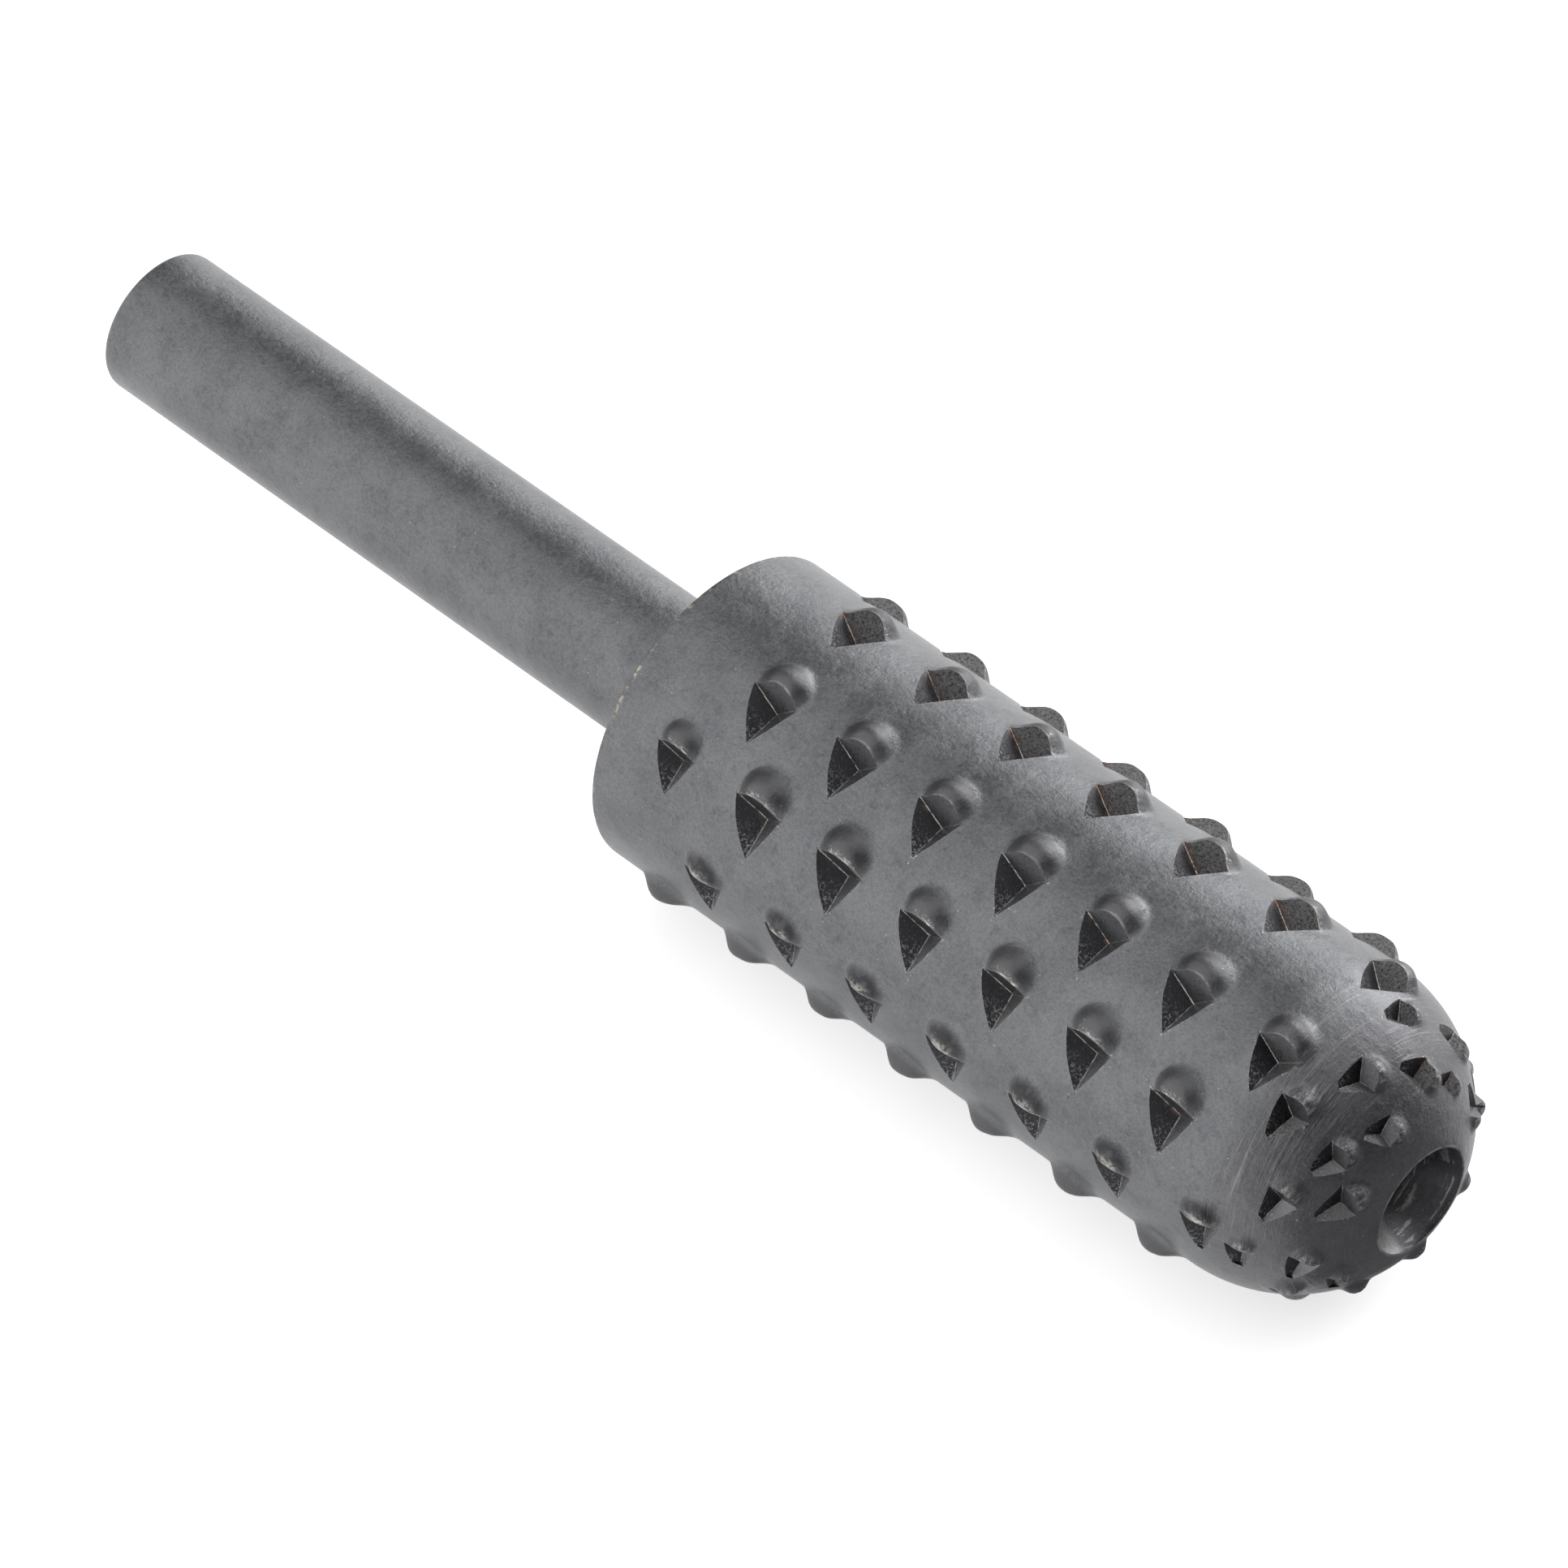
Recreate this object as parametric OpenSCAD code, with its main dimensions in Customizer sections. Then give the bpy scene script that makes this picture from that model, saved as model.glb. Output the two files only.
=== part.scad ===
// Rotary rasp for a drill: one steel bar, turned, drilled and then punched with rows of teeth.
// It lies along X on the tips of two rows of teeth, with its ball nose toward +X and Z up.
// The origin is on the axis, at the shoulder where the shank meets the head.

/* [Shank] */
// Diameter of the plain shank that a drill chuck grips
shank_d = 6; // [3:0.1:8]
// Length of the shank behind the shoulder
shank_len = 30.3; // [15:0.1:60]
// Bevel round the shank's free end
shank_bevel = 0.25; // [0.1:0.05:0.5]

/* [Head] */
// Diameter of the head between the teeth, and of its ball nose
head_d = 13.14; // [11:0.01:20]
// Length of the head's straight part, from the shoulder to the middle of the ball nose
head_len = 29.45; // [14:0.05:60]
// Bevel round the shoulder
shoulder_bevel = 0.15; // [0.05:0.05:0.4]

/* [Centre hole] */
// Diameter of the countersunk mouth in the nose
mouth_d = 4.5; // [3:0.1:5]
// Full angle of the countersink
countersink_angle = 60; // [50:1:90]
// Diameter of the pilot drilling below the countersink
pilot_d = 2; // [1:0.1:2.5]
// Depth of the pilot drilling below the countersink
pilot_len = 2.2; // [1:0.1:6]

/* [Teeth] */
// Length of a tooth's cutting edge along the head
tooth_w = 2.2; // [1.4:0.05:2.6]
// Depth of the pit that the punch leaves in front of a tooth
pit_depth = 0.6; // [0.3:0.02:0.8]
// Length of the pit, from the cutting edge to its tip
pit_len = 2.05; // [1.4:0.05:2.4]
// Lean of a tooth's face, back from the radius
face_lean = 34; // [10:1:40]
// Height of the bulge that the punch throws up behind the face
bulge_h = 0.64; // [0.4:0.02:0.8]
// Radius of the bulge's round top
bulge_r = 1; // [0.8:0.05:1.3]
// Radius of the soft foot round a bulge
foot_r = 1.2; // [0.6:0.1:1.5]
// Share of the bulge that the light blows on the nose throw up
nose_bulge = 0.72; // [0.5:0.02:1]
// Distance from tooth to tooth along a row
tooth_pitch = 4.16; // [3.8:0.01:6]

/* [Hidden] */
$fn = 96;
head_r = head_d / 2;

// Rows of teeth as they were punched, a value for each row: its angle from the top toward -Y,
// the middle of its first tooth, how far its last tooth lies past the head's straight part,
// how far it strays about the axis by its last tooth, and its size against the full tooth
row_angle = [20.2, 53.4, 89.8, 125.3, 166, 202, 236, 268, 299.8, 336.6];
row_first = [5.5, 3.3, 5.9, 3, 5.5, 3.3, 5.5, 3.3, 3.2, 5.25];
row_over = [1.05, -1.15, 1.15, -1.45, 1, -1.2, 1, -1.2, -1.55, 1.2];
row_stray = [0, 1, -2, 0, 0, 0, 0, 0, 0, -9.5];
row_size = [1, 1, 0.94, 1, 1, 1, 1, 1, 1, 1];

// The last tooth of a row that runs on to the nose, against the others
onset_size = 0.9;

// Rings of lesser teeth on the nose: how far the ring lies up the ball, the size and the turn
// of its teeth, and their angles. Some blows fell light or strayed, and stand as a ring of their own.
nose_rings = [
    [25.5, 0.76, 12, [33, 153, 213, 273]],
    [25, 0.62, 12, [94, 333]],
    [35.5, 0.7, 22, [for (k = [0 : 5]) 5 + 60 * k]],
    [45.5, 0.66, 31, [for (k = [0 : 5]) 39 + 60 * k]],
    [50, 0.5, 10, [319]],
    [54, 0.6, 42, [13, 125, 288]],
    [56, 0.72, 43, [58, 191, 242]]
];

// The punch's corners in a tooth's own frame: x toward the nose, y ahead of the tooth, z outward,
// with the middle of the cutting edge at the origin. Its lowest corner is off the middle.
pit_x = 0.2;
pit_low = [pit_x, pit_depth * tan(face_lean), -pit_depth];
rear_corner = [-tooth_w / 2, 0, 0];
fore_corner = [tooth_w / 2, 0, 0.05];
pit_tip = [pit_x, pit_len, -pit_len * pit_len / head_d];

// The bulge's outline: a round top that a foot of radius foot_r blends into a sloping skirt
bulge_x = 0.12;
bulge_back = 0.5;
bulge_tilt = asin(bulge_back / head_r);
skirt_slope = 25;
skirt_deep = 0.35;
ball_z = bulge_h - bulge_r;
foot_z = foot_r * cos(skirt_slope);
foot_x = sqrt(pow(bulge_r + foot_r, 2) - pow(foot_z - ball_z, 2));
blend = bulge_r / (bulge_r + foot_r);
top_end = [foot_x * blend, ball_z + (foot_z - ball_z) * blend];
skirt_x = foot_x - foot_r * sin(skirt_slope);

// A point on the line from a through b, so many times as far from a as b is
function past(a, b, times) = a + times * (b - a);

// Half section of the turned bar, with the axis upright
module bar_section() {
    polygon([
        [0, -shank_len],
        [shank_d / 2 - shank_bevel, -shank_len],
        [shank_d / 2, shank_bevel - shank_len],
        [shank_d / 2, 0],
        [head_r - shoulder_bevel, 0],
        [head_r, shoulder_bevel],
        [head_r, head_len],
        [0, head_len]
    ]);
    intersection() {
        translate([0, head_len])
            circle(r = head_r);
        translate([0, head_len])
            square(head_r);
    }
}

// Half section of the countersunk centre hole in the nose
module hole_section() {
    mouth_z = head_len + sqrt(head_r * head_r - mouth_d * mouth_d / 4);
    run = tan(countersink_angle / 2);
    sink_z = mouth_z - (mouth_d - pilot_d) / 2 / run;
    polygon([
        [0, sink_z - pilot_len],
        [pilot_d / 2, sink_z - pilot_len],
        [pilot_d / 2, sink_z],
        [mouth_d / 2 + run, mouth_z + 1],
        [0, mouth_z + 1]
    ]);
}

// The metal thrown up behind a tooth's face
module bulge() {
    translate([bulge_x, -bulge_back, 0])
        rotate([bulge_tilt, 0, 0])
            rotate_extrude($fn = 24) {
                difference() {
                    polygon([
                        [0, top_end[1]],
                        top_end,
                        [skirt_x, 0],
                        [skirt_x + skirt_deep / tan(skirt_slope), -skirt_deep],
                        [0, -skirt_deep]
                    ]);
                    translate([foot_x, foot_z])
                        circle(r = foot_r, $fn = 32);
                }
                intersection() {
                    translate([0, ball_z])
                        circle(r = bulge_r, $fn = 32);
                    translate([0, top_end[1]])
                        square(bulge_r);
                }
            }
}

// The three-sided point of the punch. Its first side makes the tooth's face, and cuts the bulge off flat.
module punch() {
    over_bulge = 1.5 * bulge_h;
    rise = (pit_depth + over_bulge) / pit_depth;
    tip_rise = 1.05;
    polyhedron(
        points = [
            pit_low,
            past(pit_low, rear_corner, rise),
            past(pit_low, fore_corner, rise),
            past(pit_low, pit_tip, tip_rise)
        ],
        faces = [[0, 1, 2], [0, 2, 3], [0, 3, 1], [1, 3, 2]]
    );
}

// Puts what follows on the head's skin, at a distance from the shoulder and an angle about the axis
module on_head(along, angle) {
    tilt = max(0, (along - head_len) / head_r * 180 / PI);
    rotate([angle, 0, 0])
        translate([min(along, head_len), 0, 0])
            rotate([0, tilt, 0])
                translate([0, 0, head_r])
                    mirror([0, 1, 0])
                        children();
}

// What follows, at every tooth of the rows and rings, and at light size on the nose
module at_teeth(light = 1) {
    for (row = [0 : len(row_angle) - 1]) {
        run = head_len + row_over[row] - row_first[row];
        gaps = round(run / tooth_pitch);
        for (step = [0 : gaps])
            on_head(row_first[row] + run * step / gaps,
                    row_angle[row] + row_stray[row] * pow(step / gaps, 3))
                scale(row_size[row] * (step == gaps && row_over[row] > 0 ? onset_size : 1))
                    children();
    }
    for (ring = nose_rings, angle = ring[3])
        on_head(head_len + ring[0] * PI / 180 * head_r, angle)
            rotate([0, 0, ring[2]])
                scale(ring[1] * light)
                    children();
}

module rasp() {
    color("dimgray")
        difference() {
            union() {
                rotate([0, 90, 0])
                    rotate_extrude()
                        difference() {
                            bar_section();
                            hole_section();
                        }
                at_teeth(nose_bulge)
                    bulge();
            }
            at_teeth()
                punch();
        }
}

rasp();
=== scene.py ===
import math
import random

import bpy
from mathutils import Matrix, Vector


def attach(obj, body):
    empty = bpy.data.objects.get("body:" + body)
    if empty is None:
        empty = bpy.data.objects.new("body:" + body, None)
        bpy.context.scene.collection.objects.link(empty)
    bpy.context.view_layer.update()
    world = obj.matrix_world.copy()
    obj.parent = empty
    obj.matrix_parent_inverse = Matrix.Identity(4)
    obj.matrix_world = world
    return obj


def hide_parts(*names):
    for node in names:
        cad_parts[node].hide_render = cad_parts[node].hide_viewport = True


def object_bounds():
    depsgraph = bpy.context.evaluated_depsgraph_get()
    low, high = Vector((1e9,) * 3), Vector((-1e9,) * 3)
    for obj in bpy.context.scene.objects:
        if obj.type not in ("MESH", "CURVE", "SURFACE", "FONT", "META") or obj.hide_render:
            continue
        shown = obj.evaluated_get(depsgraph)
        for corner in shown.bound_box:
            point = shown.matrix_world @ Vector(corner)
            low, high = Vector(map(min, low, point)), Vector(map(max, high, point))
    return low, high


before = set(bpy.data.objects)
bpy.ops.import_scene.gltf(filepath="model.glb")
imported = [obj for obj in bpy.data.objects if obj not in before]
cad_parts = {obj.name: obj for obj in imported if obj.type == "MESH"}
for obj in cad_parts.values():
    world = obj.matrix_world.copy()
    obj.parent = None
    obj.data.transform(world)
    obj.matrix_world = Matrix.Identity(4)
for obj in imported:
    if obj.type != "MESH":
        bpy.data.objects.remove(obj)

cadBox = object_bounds()
print("frame loaded")

# Everything on the rasp is worked out in millimetres along its axis X, and brought to metres at the end.
toMetres = 0.001

bar = {
    "shankRadius": 3.0,
    "shankLength": 30.3,
    "shankRounding": 0.28,
    "headRadius": 6.57,
    "headStraight": 29.45,
    "shoulderRounding": 0.15,
    "mouthRadius": 2.25,
    "mouthRounding": 0.1,
    "countersink": 60,  # degrees across
    "pilotRadius": 1.0,
    "pilotDepth": 2.2,
    "sides": 256,
    "grain": 0.165,  # length of the mesh's faces on the head
    "endRings": (0, 1.2, 2.2),  # radii on the shank's end
    "shankFaces": 20,
    "shoulderFaces": 5,
    "sinkFaces": 12,
    "pilotFaces": 3,
    "weld": 0.002,  # how near two points lie to be made one
}

teeth = {
    # a value for each row: degrees from the top toward the front, middle of the first tooth, how far
    # the last lies past the straight part, and how many degrees the row has strayed by then
    "rowAngle": [20.2, 53.4, 89.8, 125.3, 166, 202, 236, 268, 299.8, 336.6],
    "rowFirst": [5.5, 3.3, 5.9, 3, 5.5, 3.3, 5.5, 3.3, 3.2, 5.25],
    "rowOver": [1.05, -1.15, 1.15, -1.45, 1, -1.2, 1, -1.2, -1.55, 1.2],
    "rowStray": [0, 1, -2, 0, 0, 0, 0, 0, 0, -9.5],
    "pitch": 4.16,
    "rowSize": {2: 0.88},  # rows that aren't of full size
    "shortFirst": {1: 0.84},  # rows whose first blow fell light
    "onsetSize": 0.9,  # of a row's last tooth, where the row runs on to the nose
    # each ring on the nose: degrees up the ball, size, turn, angles
    "rings": [
        (25.5, 0.76, 12, [33, 153, 213, 273]),
        (25, 0.62, 12, [94, 333]),
        (35.5, 0.7, 22, [5 + 60 * k for k in range(6)]),
        (45.5, 0.66, 31, [39 + 60 * k for k in range(6)]),
        (50, 0.5, 10, [319]),
        (54, 0.6, 42, [13, 125, 288]),
        (56, 0.72, 43, [58, 191, 242]),
    ],
    "noseBulge": 0.72,
    "noseSpread": 0.78,
    "bulgeHeight": 0.64,
    "bulgeAcross": 1.24,
    "bulgeAlong": 1.26,
    "bulgeShift": 0.06,
    "bulgeBack": 0.42,
    # how much of a bulge's height is left where the punch pressed on it, and in the rows that differ
    "atFace": 0.62,
    "rowAtFace": {8: 1.0, 9: 0.74},
    "noseAtFace": 0.95,
    # a bulge's profile, from its top to the end of its foot
    "profile": [(0, 1), (0.2, 0.97), (0.38, 0.84), (0.54, 0.61), (0.7, 0.33), (0.84, 0.12),
                (0.93, 0.03), (1, 0)],
    "pressed": (-0.1, 0.8),  # from where to where the punch pressed on it, in tooth sizes
    "lumps": (0.855, 0.26),  # the lowest share of its height, and what the lumps add
}

# How far chance moves a tooth: in millimetres, in degrees, and as shares of its size and its bulge
chance = {
    "seed": 11,
    "place": 0.03,
    "angle": 0.3,
    "turn": 1.5,
    "size": 0.03,
    "bulge": (0.93, 1.04),
    "noseTurn": 3,
    "noseSize": 0.04,
    "noseBulge": (0.85, 1.1),
}

punch = {
    "width": 2.2,
    "depth": 0.6,
    "length": 2.05,
    "lean": 34,
    "offMiddle": 0.2,
    "foreRise": 0.05,
    "standClear": 1.5,  # how far the solid reaches out of the skin, in bulge heights
    "runOver": 1.05,  # how far it runs past the tip, as a share of the way there
    "roughness": 0.012,
    "cuts": 3,
    "crispAngle": 28,  # an edge that bends more than this stays sharp
}


# A corner rounded over, from an end face at one place to a side at one radius, as (along, radius)
def roundedCorner(face, side, rounding, steps):
    turns = [math.radians(90 / steps * k) for k in range(steps + 1)]
    return [(face + rounding * (1 - math.cos(a)), side - rounding * (1 - math.sin(a))) for a in turns]


# A section of the bar from the middle of the shank's end to the bottom of the pilot, as (along, radius)
def barSection():
    b = bar
    end, onHead = -b["shankLength"], b["shoulderRounding"]
    points = [(end, r) for r in b["endRings"]]
    points += roundedCorner(end, b["shankRadius"], b["shankRounding"], 5)
    start, steps = end + b["shankRounding"], b["shankFaces"]
    points += [(start - start * k / steps, b["shankRadius"]) for k in range(1, steps + 1)]
    flat, steps = b["headRadius"] - onHead - b["shankRadius"], b["shoulderFaces"]
    points += [(0, b["shankRadius"] + flat * k / steps) for k in range(1, steps)]
    points += roundedCorner(0, b["headRadius"], onHead, 4)
    run = b["headStraight"] - onHead
    steps = round(run / b["grain"])
    points += [(onHead + run * k / steps, b["headRadius"]) for k in range(1, steps + 1)]
    return points + noseSection(b)


# The ball nose from its equator to the mouth, and the countersunk hole in it
def noseSection(b):
    straight, radius = b["headStraight"], b["headRadius"]
    sweep = math.pi / 2 - math.asin((b["mouthRadius"] + b["mouthRounding"]) / radius)
    steps = round(sweep * radius / b["grain"])
    turns = [math.pi / 2 - sweep * k / steps for k in range(1, steps + 1)]
    points = [(straight + radius * math.cos(a), radius * math.sin(a)) for a in turns]
    edge = Vector(points[-1])
    wall = math.radians(b["countersink"] / 2)
    top = Vector((straight + math.sqrt(radius ** 2 - b["mouthRadius"] ** 2), b["mouthRadius"]))
    onWall = top + Vector((-math.cos(wall), -math.sin(wall))) * b["mouthRounding"]
    for t in (0.35, 0.65):
        points.append(tuple(edge.lerp(top, t).lerp(top.lerp(onWall, t), t)))
    foot = Vector((top.x - (b["mouthRadius"] - b["pilotRadius"]) / math.tan(wall), b["pilotRadius"]))
    steps = b["sinkFaces"]
    points += [tuple(onWall.lerp(foot, k / steps)) for k in range(steps + 1)]
    steps = b["pilotFaces"]
    points += [(foot.x - b["pilotDepth"] * k / steps, b["pilotRadius"]) for k in range(1, steps + 1)]
    return points + [(foot.x - b["pilotDepth"], 0)]


# Where every tooth stands: its spot on the skin, the way along, the way out, its size and its bulge
def toothPlaces():
    rng = random.Random(chance["seed"])
    radius, straight = bar["headRadius"], bar["headStraight"]
    places = []

    def about(middle, reach):
        return rng.uniform(middle - reach, middle + reach)

    def standTooth(along, angle, turn, size, bulge, atFace, spread):
        ahead, tilt = math.radians(turn), max(0.0, (along - straight) / radius)
        facing = Matrix.Rotation(math.radians(angle), 3, "X") @ Matrix.Rotation(tilt, 3, "Y")
        out = facing @ Vector((0, 0, 1))
        way = facing @ Vector((math.cos(ahead), -math.sin(ahead), 0))
        spot = Vector((min(along, straight), 0, 0)) + out * radius
        places.append({"spot": spot, "along": way, "out": out, "size": size, "bulge": bulge,
                       "atFace": atFace, "spread": spread, "whim": rng.random()})

    for row, angle in enumerate(teeth["rowAngle"]):
        first = teeth["rowFirst"][row]
        run = straight + teeth["rowOver"][row] - first
        gaps = round(run / teeth["pitch"])
        atFace = teeth["rowAtFace"].get(row, teeth["atFace"])
        for k in range(gaps + 1):
            stray = teeth["rowStray"][row] * (k / gaps) ** 3
            size = teeth["rowSize"].get(row, 1) * about(1, chance["size"])
            if k == gaps and teeth["rowOver"][row] > 0:
                size *= teeth["onsetSize"]
            if k == 0:
                size *= teeth["shortFirst"].get(row, 1)
            along = first + run * k / gaps + about(0, chance["place"])
            bearing = angle + stray + about(0, chance["angle"])
            turn = about(0, chance["turn"])
            standTooth(along, bearing, turn, size, rng.uniform(*chance["bulge"]), atFace, 1.0)
    for rise, ringSize, ringTurn, angles in teeth["rings"]:
        along = straight + math.radians(rise) * radius
        for angle in angles:
            turn = ringTurn + about(0, chance["noseTurn"])
            size = ringSize * about(1, chance["noseSize"])
            bulge = teeth["noseBulge"] * rng.uniform(*chance["noseBulge"])
            standTooth(along, angle, turn, size, bulge, teeth["noseAtFace"], teeth["noseSpread"])
    return places


# What a tooth's place carries besides its spot
toothKeys = ("along", "out", "size", "bulge", "atFace", "spread", "whim")


def newObject(name, data):
    piece = bpy.data.objects.new(name, data)
    bpy.context.scene.collection.objects.link(piece)
    return piece


# Loose points that carry a value or a vector each under every key
def pointsObject(name, spots, attributes):
    mesh = bpy.data.meshes.new(name)
    mesh.from_pydata([tuple(s) for s in spots], [], [])
    for key, values in attributes.items():
        isVector = hasattr(values[0], "__len__")
        layer = mesh.attributes.new(key, "FLOAT_VECTOR" if isVector else "FLOAT", "POINT")
        flat = [c for v in values for c in v] if isVector else values
        layer.data.foreach_set("vector" if isVector else "value", flat)
    return newObject(name, mesh)


# The punch's corners in a tooth's own frame: the deepest point, both ends of the crest, and the tip
def punchCorners():
    p = punch
    low = Vector((p["offMiddle"], -p["depth"] * math.tan(math.radians(p["lean"])), -p["depth"]))
    rear = Vector((-p["width"] / 2, 0, 0))
    fore = Vector((p["width"] / 2, 0, p["foreRise"]))
    tip = Vector((p["offMiddle"], -p["length"], -p["length"] ** 2 / (2 * bar["headRadius"])))
    return low, rear, fore, tip


# The punch's point, with x along, y back and z out, as a closed four-cornered solid that stands
# clear of the bulge's top and runs a little past the tip
def punchObject():
    low, rear, fore, tip = punchCorners()
    rise = (punch["depth"] + punch["standClear"] * teeth["bulgeHeight"]) / punch["depth"]
    corners = [low, low + (rear - low) * rise, low + (fore - low) * rise,
               low + (tip - low) * punch["runOver"]]
    mesh = bpy.data.meshes.new("punchPoint")
    mesh.from_pydata([tuple(c) for c in corners], [], [(0, 1, 2), (0, 2, 3), (0, 3, 1), (1, 3, 2)])
    # the front, the fore side, the rear side and the top
    facet = mesh.attributes.new("facet", "FLOAT", "FACE")
    facet.data.foreach_set("value", [1.0, 2.0, 3.0, 4.0])
    return newObject("punchPoint", mesh)


# Short ways to add a node and to do sums in a tree
class Tree:
    def __init__(self, tree):
        self.tree = tree

    def add(self, kind, inputs=None, **settings):
        made = self.tree.nodes.new(kind)
        for key, value in settings.items():
            setattr(made, key, value)
        for key, value in (inputs or {}).items():
            self.put(made.inputs[key], value)
        return made

    def put(self, socket, value):
        if isinstance(value, bpy.types.NodeSocket):
            self.tree.links.new(value, socket)
        elif value is not None:
            socket.default_value = value

    def sum(self, operation, a, b=None):
        made = self.add("ShaderNodeMath", operation=operation)
        self.put(made.inputs[0], a)
        self.put(made.inputs[1], b)
        return made.outputs[0]

    def times(self, *factors):
        total = factors[0]
        for factor in factors[1:]:
            total = self.sum("MULTIPLY", total, factor)
        return total

    def vec(self, operation, a, b=None, scale=None):
        made = self.add("ShaderNodeVectorMath", operation=operation)
        self.put(made.inputs[0], a)
        self.put(made.inputs[1], b)
        if scale is not None:
            self.put(made.inputs["Scale"], scale)
        return made.outputs["Value" if operation in ("DOT_PRODUCT", "LENGTH", "DISTANCE") else "Vector"]

    def split(self, vector):
        return self.add("ShaderNodeSeparateXYZ", {"Vector": vector}).outputs

    def join(self, x=None, y=None, z=None):
        return self.add("ShaderNodeCombineXYZ", {"X": x, "Y": y, "Z": z}).outputs[0]

    # a value carried from one range to another, softly at both ends
    def ramp(self, value, fromLow, fromHigh, toLow=0.0, toHigh=1.0):
        return self.add("ShaderNodeMapRange", {
            "Value": value, "From Min": fromLow, "From Max": fromHigh, "To Min": toLow, "To Max": toHigh,
        }, interpolation_type="SMOOTHSTEP").outputs[0]


# The same ways in a geometry tree, with geometry in and out and named inputs
class Shaping(Tree):
    def __init__(self, name, inputs):
        super().__init__(bpy.data.node_groups.new(name, "GeometryNodeTree"))
        self.ins = {}  # each named input's identifier
        self.socket("Geometry", "Geometry", "OUTPUT")
        for key, kind in {"Geometry": "Geometry", **inputs}.items():
            self.ins[key] = self.socket(key, kind, "INPUT").identifier
        self.start = self.add("NodeGroupInput").outputs
        self.position = self.add("GeometryNodeInputPosition").outputs[0]

    def socket(self, name, kind, way):
        return self.tree.interface.new_socket(name=name, in_out=way, socket_type="NodeSocket" + kind)

    def end(self, geometry):
        self.put(self.add("NodeGroupOutput").inputs["Geometry"], geometry)

    def named(self, name, kind="FLOAT"):
        found = self.add("GeometryNodeInputNamedAttribute", {"Name": name}, data_type=kind)
        return found.outputs["Attribute"]

    def store(self, geometry, name, value, kind="FLOAT", domain="POINT"):
        return self.add("GeometryNodeStoreNamedAttribute", {
            "Geometry": geometry, "Name": name, "Value": value,
        }, data_type=kind, domain=domain).outputs[0]

    def sample(self, geometry, index, value, kind):
        return self.add("GeometryNodeSampleIndex", {
            "Geometry": geometry, "Index": index, "Value": value,
        }, data_type=kind, domain="POINT").outputs[0]

    def greater(self, value, limit):
        return self.add("FunctionNodeCompare", {"A": value, "B": limit},
                        data_type="FLOAT", operation="GREATER_THAN").outputs[0]

    # noise in space, with the seed as its fourth coordinate
    def noise(self, scale, detail, seedStep):
        return self.add("ShaderNodeTexNoise", {
            "W": self.times(self.start["Seed"], seedStep), "Scale": scale, "Detail": detail,
        }, noise_dimensions="4D").outputs

    def curve(self, value, points):
        made = self.add("ShaderNodeFloatCurve", {"Value": value})
        line = made.mapping.curves[0]
        for k, point in enumerate(points):
            if k < len(line.points):
                line.points[k].location = point
            else:
                line.points.new(*point)
        made.mapping.update()
        return made.outputs[0]


# Turns a section round X: the section is the piece's own chain of points, as (along, radius, 0)
def turningTree():
    t = Shaping("turnOnLathe", {"Sides": "Int", "Weld": "Float"})
    chain, sides = t.start["Geometry"], t.start["Sides"]
    count = t.add("GeometryNodeAttributeDomainSize", {"Geometry": chain}).outputs["Point Count"]
    ring = t.sum("ADD", sides, 1)
    grid = t.add("GeometryNodeMeshGrid", {"Vertices X": count, "Vertices Y": ring}).outputs["Mesh"]
    index = t.add("GeometryNodeInputIndex").outputs[0]
    station = t.sum("FLOOR", t.sum("DIVIDE", t.sum("ADD", index, 0.5), ring))
    side = t.sum("SUBTRACT", index, t.times(station, ring))
    angle = t.sum("DIVIDE", t.times(side, 2 * math.pi), sides)
    section = t.split(t.sample(chain, station, t.position, "FLOAT_VECTOR"))
    along, radius = section["X"], section["Y"]
    place = t.join(along, t.times(radius, t.sum("SINE", angle)), t.times(radius, t.sum("COSINE", angle)))
    moved = t.add("GeometryNodeSetPosition", {"Geometry": grid, "Position": place}).outputs[0]
    t.end(t.add("GeometryNodeMergeByDistance", {"Geometry": moved, "Distance": t.start["Weld"]}).outputs[0])
    return t


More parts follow.
